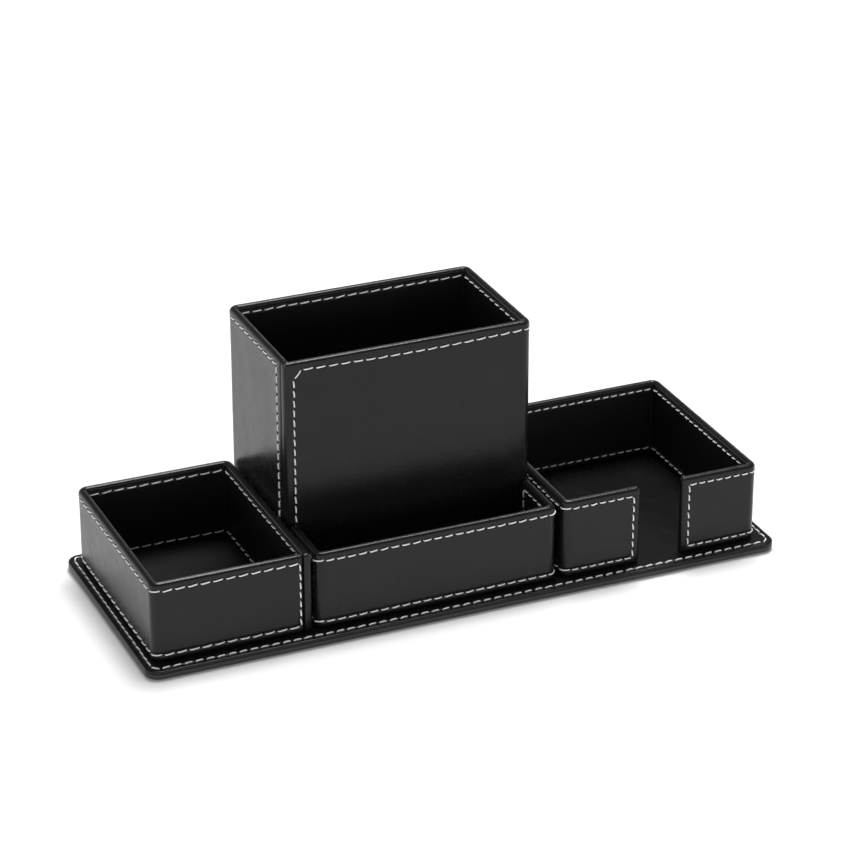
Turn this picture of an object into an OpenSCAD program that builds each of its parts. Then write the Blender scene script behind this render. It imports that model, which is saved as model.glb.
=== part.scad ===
// Desk organiser in stitched leatherette: a clip tray, a pen cup with a card holder in front
// of it, and a memo tray with a slotted front stand in a row on one base.
// Millimetres, +Z up. The origin is the centre of the base's underside and -Y is the front.

/* [Boxes] */
// Width of the clip tray
clip_w = 69; // [50:0.1:90]
// Width of the pen cup
pen_w = 111; // [98:0.1:132]
// Width of the memo tray
memo_w = 92.2; // [84:0.1:120]
// Depth of the row of boxes, front to back
row_d = 96; // [80:0.5:130]
// Depth of the card holder, out to the front of the pen cup
card_d = 30; // [22:0.5:42]
// Height of the clip tray and the memo tray
tray_h = 35.5; // [26:0.5:50]
// Height of the card holder
card_h = 34.5; // [26:0.5:50]
// Height of the pen cup
pen_h = 107; // [80:0.5:130]
// Width of the slot in the front of the memo tray
slot_w = 19.8; // [14:0.1:30]

/* [Spacing on the base] */
// Base showing to the left of the clip tray
left_margin = 4.8; // [3:0.1:15]
// Base showing to the right of the memo tray
right_margin = 6.9; // [3:0.1:15]
// Base showing in front of the boxes
front_margin = 7.6; // [4:0.1:15]
// Base showing behind the boxes
back_margin = 6.2; // [4:0.1:15]
// Gap between the clip tray and the pen cup
clip_gap = 0.8; // [0.8:0.1:8]
// Gap between the pen cup and the memo tray
memo_gap = 1.3; // [0.8:0.1:8]
// Front of the pen cup that shows to the left of the card holder
card_left = 0.7; // [0.5:0.1:8]
// Front of the pen cup that shows to the right of the card holder
card_right = 1.2; // [0.5:0.1:8]
// Clearance between the card holder's rear ends and the pen cup
card_gap = 0.5; // [0.4:0.05:0.8]

/* [Walls] */
// Board inside a wall
wall_board = 2.4; // [1.8:0.1:3]
// Leatherette on each face of a wall
leather = 0.6; // [0.5:0.05:0.8]
// Inner radius of a corner that the cover is wrapped round
inner_r = 0.5; // [0.3:0.1:3]
// Radius of the edges at the rim and the foot of a wall
edge_r = 1.1; // [0.9:0.1:1.5]
// How far the cover runs down inside, below the rim's edge, to meet the lining
rim_lip = 0.5; // [0.3:0.1:0.8]
// Radius of the two rolled edges that meet at a seam
seam_roll = 1.1; // [1:0.1:1.6]
// Half the width of the groove between those edges
seam_half = 0.9; // [0.5:0.1:0.9]
// Width of the turned-in leatherette behind a seam
seam_fold = 1.2; // [1:0.1:2]
// Radius of the upright edges at the free end of a wall
end_r = 1.4; // [1:0.1:1.5]
// Board in the floor of the clip tray and the pen cup
floor_board = 1.2; // [0.8:0.1:1.4]
// Clearance round a floor
floor_clear = 0.2; // [0.1:0.05:0.5]

/* [Base] */
// Radius of the base's corners in plan
base_corner_r = 6; // [5:0.5:14]
// Leatherette panel on top of the base
base_top = 1.2; // [1.1:0.1:1.5]
// Board inside the base
base_board_t = 1.6; // [1:0.1:4]
// Leatherette wrapped round that board
wrap_t = 0.5; // [0.4:0.1:0.8]
// Soft sheet under the base
backing_t = 0.5; // [0.3:0.1:2]
// How far that sheet stays in from the base's edge
backing_inset = 3; // [2:0.5:8]
// Radius of the top panel's upper edge
base_top_r = 0.7; // [0.4:0.1:0.7]
// Radius of the top panel's lower edge
base_under_r = 0.4; // [0.2:0.05:0.4]
// Radius of the wrapped board's edges
base_edge_r = 0.7; // [0.5:0.1:0.9]
// Radius of the board's own edges
base_board_r = 0.3; // [0.2:0.05:0.4]

/* [Stitching] */
// Length of one stitch with the gap after it, on the clip tray and the pen cup
stitch_pitch = 5.5; // [4:0.1:8]
// The same on the card holder
card_pitch = 4.9; // [4:0.1:8]
// The same on the memo tray
memo_pitch = 4.3; // [4:0.1:8]
// The same on the base
base_pitch = 4.7; // [4:0.1:8]
// The same in upright rows
upright_pitch = 4.4; // [4:0.1:8]
// Gap between stitches
stitch_gap = 0.8; // [0.8:0.1:1.6]
// Thickness of the thread
thread_d = 0.6; // [0.5:0.05:0.7]
// How far the thread's middle stands out from the leatherette
thread_proud = 0.05; // [0.02:0.01:0.1]
// Clearance round the thread in its pressed channel
thread_clear = 0.05; // [0.02:0.01:0.1]
// Distance of a row of stitches below the rim
rim_row = 3.4; // [3.2:0.1:4.5]
// Distance of a row of stitches above the foot of a wall
foot_row = 3; // [2.8:0.1:4]
// Distance from the clip tray's sewn corner to the upright row before it
clip_seam_row = 5.3; // [5.2:0.1:9]
// Distance from the pen cup's sewn corner to the upright row before it
pen_seam_row = 8; // [5.2:0.1:12]
// Distance from a sewn corner to the upright row after it
start_row = 4.1; // [3:0.1:8]
// Distance of a row of stitches from the free end of a wall
end_row = 3.3; // [2.8:0.1:4.5]
// Distance of the base's row of stitches from its edge
base_row = 2.8; // [2:0.1:4]

/* [Hidden] */
$fn = 48;

// Sides of a box in order, and the corner at the end of each: front, right, back, left
front = 0;
right = 1;
back = 2;
left = 3;

wall = wall_board + 2*leather;
board_in = wall - leather;
corner_r = wall + inner_r;
rim_turn = edge_r + rim_lip;
base_w = left_margin + clip_w + clip_gap + pen_w + memo_gap + memo_w + right_margin;
base_d = front_margin + row_d + back_margin;
wrapped_t = base_board_t + 2*wrap_t;
base_t = backing_t + wrapped_t + base_top;
clip_x = left_margin - base_w/2;
pen_x = clip_x + clip_w + clip_gap;
card_x = pen_x + card_left;
memo_x = pen_x + pen_w + memo_gap;
front_y = front_margin - base_d/2;
pen_y = front_y + card_d;
pen_d = row_d - card_d;
card_w = pen_w - card_left - card_right;
card_end = card_d - card_gap;
slot_x = (memo_w - slot_w)/2;
thread_r = thread_d/2;
channel_r = thread_r + thread_clear;
// Pitch of the row that is drawn
$pitch = stitch_pitch;
// Legs of the slanting stitch that turns the pen cup's rim row down at its sewn corner
turn = stitch_pitch*cos(45);
// Length by which a cutter runs past what it cuts
over = 1;
// Height that clears every box
tall = pen_h + tray_h + card_h;

leatherette_black = "#242424";
lining_black = "#161616";
thread_white = "#e8e5dc";
board_grey = "#a39d92";
backing_black = "#101010";

module in_clip_tray() translate([clip_x, front_y, base_t]) children();
module in_pen_cup() translate([pen_x, pen_y, base_t]) children();
module in_card_holder() translate([card_x, front_y, base_t]) children();
module in_memo_tray() translate([memo_x, front_y, base_t]) children();

// Places round a w by d box with corners of radius r

// Start of straight side k, with the side along +X and the inside of the box towards +Y
module on_side(k, w, d, r = corner_r) {
    starts = [[r, 0], [w, r], [w - r, d], [0, d - r]];
    translate(starts[k]) rotate(90*k) children();
}

// The same side drawn towards +X or +Y, so that it ends just where the next corner starts
module along_side(k, w, d, r) {
    lows = [[r, 0], [w, r], [r, d], [0, r]];
    flip = k == back || k == left ? 1 : 0;
    translate(lows[k]) rotate(90*(k % 2)) mirror([0, flip, 0]) children();
}

// Centre of corner k, with the side before it towards -Y and the side after it towards +X
module on_corner(k, w, d, r = corner_r) {
    right_x = r + side_len(front, w, d, r);
    back_y = r + side_len(right, w, d, r);
    centres = [[right_x, r], [right_x, back_y], [r, back_y], [r, r]];
    translate(centres[k]) rotate(90*k) children();
}

function side_len(k, w, d, r = corner_r) = (k % 2 == 0 ? w : d) - 2*r;

// Sweeps of an outline, drawn with x inwards from the outer face and y upwards

module run(len) rotate([90, 0, 90]) linear_extrude(len) children();

module bend(r) rotate(-90) rotate_extrude(angle = 90) translate([r, 0]) mirror([1, 0]) children();

// Sides and corners of a box
module ring(w, d, sides = [0:3], corners = [0:3], r = corner_r) {
    for (k = sides) along_side(k, w, d, r) run(side_len(k, w, d, r)) children();
    for (k = corners) on_corner(k, w, d, r) bend(r) children();
}

// Outlines

// A wall with rounded edges, drawn in by inset on every face
module wall_outline(h, inset = 0) translate([inset, inset])
    rounded_rect(wall - 2*inset, h - 2*inset, edge_r - inset);

module lining_outline(h, past = 0)
    translate([board_in, edge_r]) square([leather + past, h - rim_turn - edge_r]);

module cover_outline(h) difference() {
    wall_outline(h);
    wall_outline(h, leather);
    lining_outline(h, over);
}

// The edge of a slab, with its upper and lower outer edges rounded
module edge_outline(depth, t, r_top, r_low) difference() {
    square([depth, t]);
    translate([0, t]) mirror([0, 1]) edge_waste(r_top);
    edge_waste(r_low);
}

module edge_waste(r) difference() {
    translate([-over, -over]) square(r + over);
    translate([r, r]) circle(r = r);
}

module rounded_rect(w, d, r) {
    translate([r, 0]) square([w - 2*r, d]);
    translate([0, r]) square([w, d - 2*r]);
    for (x = [r, w - r], y = [r, d - r]) translate([x, y]) circle(r = r);
}

// Plan of what is cut away beyond the free end of a wall that ends at x = 0 and runs from
// y = 0 to its thickness. inset draws the wall in on every face.
module end_waste(len, inset = 0) {
    translate([-inset, -over]) square([len + inset, wall + 2*over]);
    for (m = [0, 1]) translate([0, m*wall]) mirror([0, m]) difference() {
        translate([-end_r, -over]) square([end_r, end_r + over]);
        translate([-end_r, end_r]) circle(r = end_r - inset);
    }
}

module slot_waste(inset = 0) for (m = [0, 1])
    translate([slot_x + m*slot_w, 0]) mirror([m, 0]) end_waste(slot_w/2 + over, inset);

module card_waste(inset = 0) for (x = [wall, card_w])
    translate([x, card_end]) rotate(90) end_waste(card_gap + over, inset);

// Plan of what is cut from a sewn corner: the round of the wall that ends there, and the groove
// between that end and the wall that meets it
module seam_waste() translate([corner_r, -corner_r]) mirror([1, 0]) {
    edge_waste(end_r);
    translate([wall, 0]) difference() {
        polygon([[-seam_half, -over], [seam_half, -over], [seam_half, 0], [0, seam_roll], [-seam_half, 0]]);
        for (side = [-1, 1]) translate([side*seam_half, seam_roll]) circle(r = seam_roll);
    }
}

// Boards

// The board of side k. ends gives how far it stops short of the box's outer faces.
module side_board(k, w, d, h, ends, corners) intersection() {
    ring(w, d, [k], corners) wall_outline(h, leather);
    on_side(k, w, d) translate([ends[0] - corner_r, 0, 0])
        cube([side_len(k, w, d) + 2*corner_r - ends[0] - ends[1], board_in, h]);
}

// Sides of a closed box: front and back boards fit between the other two. At the sewn corner the
// board after it runs through, and the board before it stops at the turned-in cover.
module closed_board(k, w, d, h, seam) color(board_grey) {
    before = (k + 3) % 4;
    fit = k % 2 == 0 ? board_in : 0;
    ends = [before == seam ? leather : fit, k == seam ? wall + seam_fold : fit];
    side_board(k, w, d, h, ends, [for (c = [before, k]) if (c != seam) c]);
    if (before == seam) on_side(k, w, d) translate([leather - corner_r, 0, 0])
        run(corner_r) wall_outline(h, leather);
}

// Covers and linings

module closed_cover(w, d, h, seam, seam_row, slant = 0) color(leatherette_black) difference() {
    union() {
        ring(w, d, corners = [for (k = [0:3]) if (k != seam) k]) cover_outline(h);
        on_corner(seam, w, d) sewn_corner(h);
    }
    seam_rows(w, d, h, seam, seam_row, true, slant);
}

// The corner where the cover's two ends meet: the wall after it ends in a rounded edge, and the
// wall before it stops against that wall's inner face.
module sewn_corner(h) {
    past = seam_fold + over;
    difference() {
        union() {
            translate([-seam_fold, -corner_r, 0]) run(seam_fold + corner_r - wall/2) wall_outline(h);
            translate([corner_r, -corner_r, 0]) rotate(90) run(corner_r + seam_fold) wall_outline(h);
        }
        translate([-past, -corner_r, 0]) run(over + corner_r - wall) wall_outline(h, leather);
        translate([corner_r, leather - corner_r, 0]) rotate(90)
            run(corner_r - leather + past) wall_outline(h, leather);
        translate([-past, board_in - corner_r, edge_r])
            cube([corner_r - board_in + past, corner_r - board_in + past, h - rim_turn - edge_r]);
        linear_extrude(tall) seam_waste();
    }
}

module closed_lining(w, d, h) color(lining_black) difference() {
    ring(w, d) lining_outline(h);
    inner_rows(w, d, h, true);
}

// A floor panel t thick that lies z above the base
module floor_panel(w, d, z, t) {
    in = wall + floor_clear;
    translate([in, in, z]) linear_extrude(t) rounded_rect(w - 2*in, d - 2*in, inner_r);
}

// Rows of stitches. Each module draws the stitches, or the pressed channel that they lie in.

// A row along +X on a face that looks towards -Y
module row(len, channel) translate([stitch_gap/2, -thread_proud, 0]) rotate([0, 90, 0]) {
    count = max(1, round(len/$pitch));
    pitch = len/count;
    if (channel) cylinder(r = channel_r, h = len - stitch_gap);
    else for (i = [0:count - 1]) translate([0, 0, i*pitch]) cylinder(r = thread_r, h = pitch - stitch_gap);
}

module row_up(len, channel) {
    $pitch = upright_pitch;
    rotate([0, -90, 0]) row(len, channel);
}

// A row round a corner of radius r, from its -Y side to its +X side
module row_bend(r, channel) {
    path_r = r + thread_proud;
    count = channel ? 1 : max(1, round(path_r*PI/2/$pitch));
    pitch = 90/count;
    half_gap = stitch_gap/2/path_r*180/PI;
    for (i = [0:count - 1]) rotate(i*pitch + half_gap - 90) rotate_extrude(angle = pitch - 2*half_gap)
        translate([path_r, 0]) circle(r = channel ? channel_r : thread_r);
}

// Rows at the rim and the foot of a closed box, and up both sides of its sewn corner: seam_row
// before it and start_row after it. There a stitch with legs of length slant turns the rim's row down.
module seam_rows(w, d, h, seam, seam_row, channel, slant = 0) {
    after = (seam + 1) % 4;
    for (z = [foot_row, h - rim_row]) {
        start = start_row - corner_r + (z == foot_row ? 0 : slant);
        for (k = [0:3]) {
            from = k == after ? start : 0;
            to = side_len(k, w, d) + (k == seam ? corner_r - seam_row : 0);
            on_side(k, w, d) translate([from, 0, z]) row(to - from, channel);
        }
        for (k = [0:3]) if (k != seam) on_corner(k, w, d) translate([0, 0, z]) row_bend(corner_r, channel);
    }
    on_side(seam, w, d) translate([side_len(seam, w, d) + corner_r - seam_row, 0, foot_row])
        row_up(h - rim_row - foot_row, channel);
    on_side(after, w, d) translate([start_row - corner_r, 0, foot_row]) {
        up = h - rim_row - foot_row - slant;
        row_up(up, channel);
        if (slant > 0) translate([0, 0, up]) rotate([0, -45, 0]) row(stitch_pitch, channel);
    }
}

// Rows on the inner faces of the sides listed, at the rim and at the foot
module inner_rows(w, d, h, channel, sides = [0:3]) for (k = sides, z = [foot_row, h - rim_row])
    on_side(k, w, d) translate([0, wall, z]) mirror([0, 1, 0]) row(side_len(k, w, d), channel);

// Rows on one face of a wall of length len that starts at a corner and has a free end
module end_rows(len, h, channel) {
    stop = len - corner_r - end_row;
    for (z = [foot_row, h - rim_row]) translate([0, 0, z]) row(stop, channel);
    translate([stop, 0, foot_row]) row_up(h - rim_row - foot_row, channel);
}

// Rows of the card holder, outside or inside
module card_rows(channel, inside) {
    $pitch = card_pitch;
    d = card_d + corner_r;
    for (z = [foot_row, card_h - rim_row]) {
        on_side(front, card_w, d) translate([0, 0, z]) on_face(inside)
            row(side_len(front, card_w, d), channel);
        if (!inside) for (k = [front, left]) on_corner(k, card_w, d)
            translate([0, 0, z]) row_bend(corner_r, channel);
    }
    on_side(right, card_w, d) on_face(inside) end_rows(card_end, card_h, channel);
    translate([card_w, 0, 0]) mirror([1, 0, 0]) on_side(right, card_w, d)
        on_face(inside) end_rows(card_end, card_h, channel);
}

// Rows of the memo tray, outside or inside
module memo_rows(channel, inside) {
    $pitch = memo_pitch;
    for (z = [foot_row, tray_h - rim_row]) {
        for (k = [right, back, left]) on_side(k, memo_w, row_d)
            translate([0, 0, z]) on_face(inside) row(side_len(k, memo_w, row_d), channel);
        if (!inside) for (k = [0:3]) on_corner(k, memo_w, row_d)
            translate([0, 0, z]) row_bend(corner_r, channel);
    }
    for (m = [0, 1]) translate([m*memo_w, 0, 0]) mirror([m, 0, 0]) on_side(front, memo_w, row_d)
        on_face(inside) end_rows(slot_x, tray_h, channel);
}

// The outer face of a wall, or its inner one
module on_face(inside) {
    if (inside) translate([0, wall, 0]) mirror([0, 1, 0]) children();
    else children();
}

// Base

module base_backing() color(backing_black)
    translate([backing_inset - base_w/2, backing_inset - base_d/2, 0]) linear_extrude(backing_t)
        rounded_rect(base_w - 2*backing_inset, base_d - 2*backing_inset, base_corner_r - backing_inset);

// A slab of the base's plan, drawn in by inset, with rounded edges
module base_slab(t, r_top, r_low, inset = 0) {
    w = base_w - 2*inset;
    d = base_d - 2*inset;
    r = base_corner_r - inset;
    translate([-w/2, -d/2, 0]) {
        ring(w, d, r = r) edge_outline(r, t, r_top, r_low);
        translate([r, r, 0]) cube([w - 2*r, d - 2*r, t]);
    }
}

module base_board() color(board_grey) translate([0, 0, backing_t + wrap_t])
    base_slab(base_board_t, base_board_r, base_board_r, wrap_t);

module base_wrap() color(leatherette_black) difference() {
    translate([0, 0, backing_t]) base_slab(wrapped_t, base_edge_r, base_edge_r);
    base_board();
}

module base_top_panel() color(leatherette_black) difference() {
    translate([0, 0, base_t - base_top]) base_slab(base_top, base_top_r, base_under_r);
    base_rows(true);
}

// The border's row, on the face that looks up
module base_rows(channel) {
    $pitch = base_pitch;
    w = base_w - 2*base_row;
    d = base_d - 2*base_row;
    r = base_corner_r - base_row;
    translate([-w/2, -d/2, base_t]) {
        for (k = [0:3]) on_side(k, w, d, r) rotate([-90, 0, 0]) row(side_len(k, w, d, r), channel);
        for (k = [0:3]) on_corner(k, w, d, r)
            translate([0, 0, thread_proud]) row_bend(r - thread_proud, channel);
    }
}

module base_stitching() color(thread_white) base_rows(false);

// Clip tray

module clip_tray_front_board() in_clip_tray() closed_board(front, clip_w, row_d, tray_h, front);
module clip_tray_right_board() in_clip_tray() closed_board(right, clip_w, row_d, tray_h, front);
module clip_tray_back_board() in_clip_tray() closed_board(back, clip_w, row_d, tray_h, front);
module clip_tray_left_board() in_clip_tray() closed_board(left, clip_w, row_d, tray_h, front);
module clip_tray_floor_board() in_clip_tray() color(board_grey) floor_panel(clip_w, row_d, 0, floor_board);
module clip_tray_floor_lining() in_clip_tray() color(lining_black)
    floor_panel(clip_w, row_d, floor_board, leather);
module clip_tray_cover() in_clip_tray() closed_cover(clip_w, row_d, tray_h, front, clip_seam_row);
module clip_tray_lining() in_clip_tray() closed_lining(clip_w, row_d, tray_h);
module clip_tray_stitching() in_clip_tray() color(thread_white) {
    seam_rows(clip_w, row_d, tray_h, front, clip_seam_row, false);
    inner_rows(clip_w, row_d, tray_h, false);
}

// Pen cup

module pen_cup_front_board() in_pen_cup() closed_board(front, pen_w, pen_d, pen_h, left);
module pen_cup_right_board() in_pen_cup() closed_board(right, pen_w, pen_d, pen_h, left);
module pen_cup_back_board() in_pen_cup() closed_board(back, pen_w, pen_d, pen_h, left);
module pen_cup_left_board() in_pen_cup() closed_board(left, pen_w, pen_d, pen_h, left);
module pen_cup_floor_board() in_pen_cup() color(board_grey) floor_panel(pen_w, pen_d, 0, floor_board);
module pen_cup_floor_lining() in_pen_cup() color(lining_black)
    floor_panel(pen_w, pen_d, floor_board, leather);
module pen_cup_cover() in_pen_cup() closed_cover(pen_w, pen_d, pen_h, left, pen_seam_row, turn);
module pen_cup_lining() in_pen_cup() closed_lining(pen_w, pen_d, pen_h);
module pen_cup_stitching() in_pen_cup() color(thread_white) {
    seam_rows(pen_w, pen_d, pen_h, left, pen_seam_row, false, turn);
    inner_rows(pen_w, pen_d, pen_h, false);
}

// Card holder: its ring stops at the free ends of the side walls

module card_ring(sides = [front, right, left], corners = [front, left])
    ring(card_w, card_d + corner_r, sides, corners) children();

module card_board(k, ends, corners) color(board_grey) difference() {
    side_board(k, card_w, card_d + corner_r, card_h, ends, corners);
    linear_extrude(tall) card_waste(leather);
}

module card_holder_front_board() in_card_holder() card_board(front, [board_in, board_in], [front, left]);
module card_holder_right_board() in_card_holder() card_board(right, [0, 0], [front]);
module card_holder_left_board() in_card_holder() card_board(left, [0, 0], [left]);

module card_holder_cover() in_card_holder() color(leatherette_black) difference() {
    union() {
        card_ring() cover_outline(card_h);
        intersection() {
            card_ring([right, left], []) wall_outline(card_h);
            linear_extrude(tall) card_waste(leather);
        }
    }
    linear_extrude(tall) card_waste();
    card_rows(true, false);
}

module card_holder_lining() in_card_holder() color(lining_black) difference() {
    card_ring() lining_outline(card_h);
    linear_extrude(tall) card_waste(leather);
    card_rows(true, true);
}

module card_holder_stitching() in_card_holder() color(thread_white) for (inside = [false, true])
    card_rows(false, inside);

// Memo tray

module memo_board(k, ends) color(board_grey) difference() {
    side_board(k, memo_w, row_d, tray_h, ends, [(k + 3) % 4, k]);
    linear_extrude(tall) slot_waste(leather);
}

module memo_tray_back_board() in_memo_tray() memo_board(back, [board_in, board_in]);
module memo_tray_right_board() in_memo_tray() memo_board(right, [0, 0]);
module memo_tray_left_board() in_memo_tray() memo_board(left, [0, 0]);
module memo_tray_front_left_board() in_memo_tray() memo_board(front, [board_in, memo_w - slot_x]);
module memo_tray_front_right_board() in_memo_tray() memo_board(front, [memo_w - slot_x, board_in]);

module memo_tray_cover() in_memo_tray() color(leatherette_black) difference() {
    union() {
        ring(memo_w, row_d) cover_outline(tray_h);
        intersection() {
            ring(memo_w, row_d, [front], []) wall_outline(tray_h);
            linear_extrude(tall) slot_waste(leather);
        }
    }
    linear_extrude(tall) slot_waste();
    memo_rows(true, false);
}

module memo_tray_lining() in_memo_tray() color(lining_black) difference() {
    ring(memo_w, row_d) lining_outline(tray_h);
    linear_extrude(tall) slot_waste(leather);
    memo_rows(true, true);
}

module memo_tray_stitching() in_memo_tray() color(thread_white) for (inside = [false, true])
    memo_rows(false, inside);

base_backing();
base_board();
base_wrap();
base_top_panel();
base_stitching();
clip_tray_front_board();
clip_tray_back_board();
clip_tray_left_board();
clip_tray_right_board();
clip_tray_floor_board();
clip_tray_floor_lining();
clip_tray_cover();
clip_tray_lining();
clip_tray_stitching();
pen_cup_front_board();
pen_cup_back_board();
pen_cup_left_board();
pen_cup_right_board();
pen_cup_floor_board();
pen_cup_floor_lining();
pen_cup_cover();
pen_cup_lining();
pen_cup_stitching();
card_holder_front_board();
card_holder_left_board();
card_holder_right_board();
card_holder_cover();
card_holder_lining();
card_holder_stitching();
memo_tray_back_board();
memo_tray_left_board();
memo_tray_right_board();
memo_tray_front_left_board();
memo_tray_front_right_board();
memo_tray_cover();
memo_tray_lining();
memo_tray_stitching();
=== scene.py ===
"""Looks of a desk organiser in stitched black leatherette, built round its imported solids.

Each wall is a board in a leatherette cover with a lining inside. This script makes the covers,
the linings and the base's skins as fine meshes that the stitches press into, and makes each stitch
as a twisted thread. Lengths are in millimetres in the frame's axes until a mesh is made.
Sides and corners of a box are numbered from its front: front 0, right 1, back 2, left 3, and
corner k is at the end of side k.
"""

import math

import bmesh
import bpy
import numpy as np
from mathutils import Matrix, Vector
from mathutils.kdtree import KDTree


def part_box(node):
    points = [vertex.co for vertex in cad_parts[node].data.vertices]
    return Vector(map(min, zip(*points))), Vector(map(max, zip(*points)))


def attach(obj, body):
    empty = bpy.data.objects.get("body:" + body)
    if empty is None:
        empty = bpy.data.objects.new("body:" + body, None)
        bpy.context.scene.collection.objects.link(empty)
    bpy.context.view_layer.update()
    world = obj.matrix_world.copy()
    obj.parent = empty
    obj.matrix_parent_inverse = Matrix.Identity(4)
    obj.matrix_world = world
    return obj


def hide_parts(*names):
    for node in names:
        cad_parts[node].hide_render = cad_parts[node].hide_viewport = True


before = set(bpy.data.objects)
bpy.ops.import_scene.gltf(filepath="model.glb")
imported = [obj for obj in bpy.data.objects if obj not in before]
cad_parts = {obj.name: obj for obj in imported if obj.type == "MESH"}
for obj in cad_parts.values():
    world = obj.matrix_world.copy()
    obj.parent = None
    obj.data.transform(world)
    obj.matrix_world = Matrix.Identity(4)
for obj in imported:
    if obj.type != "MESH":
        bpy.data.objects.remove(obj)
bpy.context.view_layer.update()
rng = np.random.default_rng(11)

MM = 0.001
QUARTER_TURN = math.pi / 2
FULL_TURN = 2 * math.pi
UP = np.array([0, 0, 1.0])
FRONT, RIGHT, BACK, LEFT = range(4)


def extent(node):
    """Lowest and highest corner of a CAD node, in millimetres."""
    lo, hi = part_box(node)
    return np.array(lo) / MM, np.array(hi) / MM


# Wall sections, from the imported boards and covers, and the radii that a box can't give
BOARD_LO, BOARD_HI = extent("clip_tray_front_board")
LEATHER = BOARD_LO[1] - extent("clip_tray_cover")[0][1]
WALL = BOARD_HI[1] - BOARD_LO[1] + 2 * LEATHER
HALF = WALL / 2
INNER_R = 0.5
CORNER_R = WALL + INNER_R
EDGE_R = 1.1
RIM_R = 1.6
RIM_LIP = 0.3
RIM_TURN = RIM_R + RIM_LIP
RIM_DOME = 0.1
END_R = 1.4

# Seam of a closed box: one wall rolls in against the rounded end of the next
SEAM_ROLL = 2.2
SEAM_TURN = math.radians(68)
SEAM_LIP = 0.65
SEAM_LEAD = 0.5
SEAM_START = WALL + SEAM_ROLL * math.sin(SEAM_TURN) + SEAM_LEAD
SEWN_END, SEWN_END_DEPTH = 2.6, 1.3
NOTCH, NOTCH_W = 0.55, 0.4

# The lining lies in a step of the cover, a little behind the lip of the rim
LINING_STEP = 0.6
LINING_BACK = 0.08
LINING_GAP = 0.12
LEDGE = 0.05

# Base and tray floors
BASE_CORNER_R = 6.0
BASE_EDGE_R = 0.7
BASE_UNDER_R = 0.4
TRAY_FLOOR_EDGE_R = 0.4
TRAY_FLOOR_UNDER_R = 0.2
TRAY_FLOOR_CROWN = 0.25

# Rows of stitches
PITCH = {"clip_tray": 5.5, "pen_cup": 5.5, "card_holder": 4.9, "memo_tray": 4.3, "base": 4.7}
UPRIGHT_PITCH = 4.4
STITCH_GAP = 1.15
RIM_ROW = 3.4
FOOT_ROW = 3.0
SEAM_ROW = {"clip_tray": 5.3, "pen_cup": 8.0}
START_ROW = 4.1
END_ROW = 3.3
BASE_ROW = 2.8
SLANT_LEG = PITCH["pen_cup"] * math.cos(math.radians(45))
PEN_CUP_SAG = 1.0
ROW_STRAY = 0.05

# Thread: how thick it is, how far it stands proud, and how it dips and thins at the needle holes
THREAD_R = 0.36
THREAD_PROUD, PROUD_SPREAD = 0.2, 0.03
THREAD_DIP, DIP_POWER = 0.6, 8
THREAD_TAPER, TAPER_POWER = 0.3, 6
THREAD_TWIST = 1.5
PLY_DEPTH = 0.17
STITCH_LEAN, LEAN_SPREAD = math.radians(5), math.radians(1.6)

# How the thread presses into the leatherette, and how far the skin swells and wanders
GROOVE, GROOVE_W = 0.18, 0.5
HOLE, HOLE_W = 0.32, 0.42
SWELL, SWELL_AT, SWELL_W = 0.08, 1.6, 0.7
PRESS_REACH = 5.5
FACING = 0.5
WANDER = 0.03
WAVE_COUNT = 14
SHORT_WAVE, LONG_WAVE = 9, 34

# Mesh steps, and the small distances within which two points are one, a face is flat and a point
# is on the top of a plate
STEP = 0.9
FINE_STEP = 0.4
FACE_STEP = 1.1
LINING_FACE_STEP = 1.5 * FACE_STEP
WRAP_STEP = 3 * STEP
TRAY_FLOOR_STEP = 2.5
HIDDEN_STEP = 12.0
ROW_OFFSETS = (0, 0.3, 0.65, 1.1, 1.7)
ARC_STEPS = 10
HEM_STEPS = 5
RIM_STEPS = 8
THREAD_RINGS, THREAD_SIDES = 13, 8
SAME_POINT = 0.002
FLAT_FACE = 0.0005
TOP_LAYER = 0.001
ROUNDING = 1e-6
SHARP_EDGE = math.radians(60)


# Skins and stitches

def spread(lo, hi, step):
    """Places from lo towards hi, no further apart than step, without hi itself."""
    return np.linspace(lo, hi, max(1, math.ceil((hi - lo) / step - ROUNDING)), endpoint=False)


def close_to_rows(lo, hi, rows, step):
    """Places from lo to hi, close together beside the rows of stitches and step apart elsewhere."""
    near = [row + side * offset for row in rows for offset in ROW_OFFSETS for side in (-1, 1)]
    marks = [lo] + sorted(z for z in set(near) if lo < z < hi) + [hi]
    return np.concatenate([spread(a, b, step) for a, b in zip(marks, marks[1:])] + [[hi]])


def grid_faces(rows, columns, wrap_columns=False, wrap_rows=False):
    """Quads of a grid of points held row after row."""
    across = np.arange(columns if wrap_columns else columns - 1)
    up = np.arange(rows if wrap_rows else rows - 1)
    low, high = up[:, None] * columns, (up[:, None] + 1) % rows * columns
    right = (across + 1) % columns
    return np.stack([low + across, low + right, high + right, high + across], 2).reshape(-1, 4)


def make_piece(name, points, faces, material, slot, *nodes):
    """A closed mesh piece that rides on the one body and stands for the CAD nodes given."""
    mesh = bpy.data.meshes.new(name)
    mesh.from_pydata(np.asarray(points) * MM, [], [list(face) for face in faces])
    work = bmesh.new()
    work.from_mesh(mesh)
    bmesh.ops.remove_doubles(work, verts=work.verts, dist=SAME_POINT * MM)
    bmesh.ops.dissolve_degenerate(work, edges=work.edges, dist=FLAT_FACE * MM)
    bmesh.ops.recalc_face_normals(work, faces=work.faces)
    work.to_mesh(mesh)
    work.free()
    mesh.shade_smooth()
    mesh.set_sharp_from_angle(angle=SHARP_EDGE)
    mesh.materials.append(material)
    piece = bpy.data.objects.new(name, mesh)
    bpy.context.scene.collection.objects.link(piece)
    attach(piece, "root")
    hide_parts(*nodes)


WAVES = [(rng.normal(size=3), rng.uniform(SHORT_WAVE, LONG_WAVE), rng.uniform(0, FULL_TURN))
         for _ in range(WAVE_COUNT)]


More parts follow.
